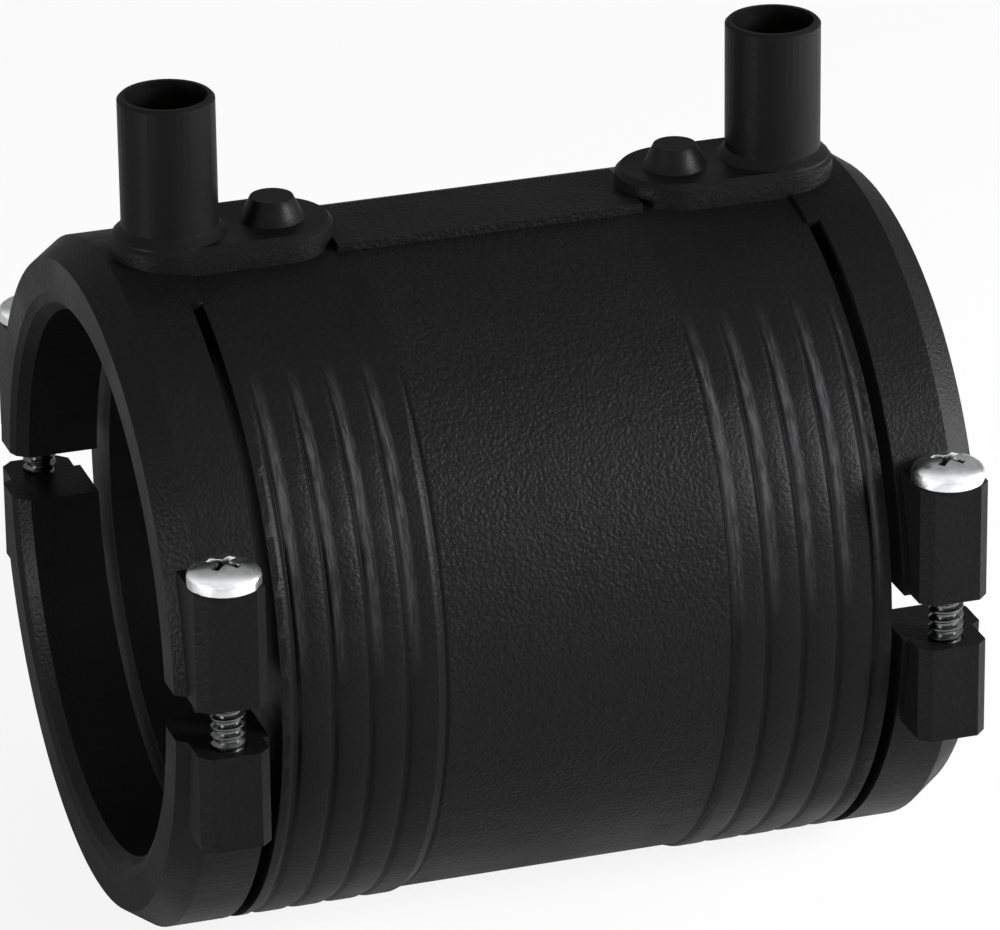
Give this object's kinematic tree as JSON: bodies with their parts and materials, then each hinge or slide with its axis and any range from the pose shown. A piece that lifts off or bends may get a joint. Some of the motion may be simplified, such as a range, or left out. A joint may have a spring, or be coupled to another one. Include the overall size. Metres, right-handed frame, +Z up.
{
  "type": "electrofusion coupler",
  "caption": "Black electrofusion coupler for two plastic pipe ends, with split clamp rings, screws, two shrouded terminals and fusion indicators.",
  "frame": {"origin": "middle of the pipe bore, at mid-length", "axes": "+X along the bore towards the right socket's mouth, +Z up through the two terminals"},
  "size_m": [0.096, 0.0904, 0.0995],
  "materials": {
    "black_moulding": "fine-grained satin black moulding",
    "coil_lining": "smooth black lining",
    "contact_metal": "turned, bright",
    "indicator_plastic": "satin black",
    "plated_steel": "bright zinc plate"
  },
  "bodies": {
    "root": {"coupler_body": "black_moulding", "fusion_coil_left": "coil_lining", "contact_pin_left": "contact_metal", "fusion_indicator_left": "indicator_plastic", "clamp_screw_left_front": "plated_steel", "clamp_screw_left_back": "plated_steel", "fusion_coil_right": "coil_lining", "contact_pin_right": "contact_metal", "fusion_indicator_right": "indicator_plastic", "clamp_screw_right_front": "plated_steel", "clamp_screw_right_back": "plated_steel"}
  },
  "joints": []
}
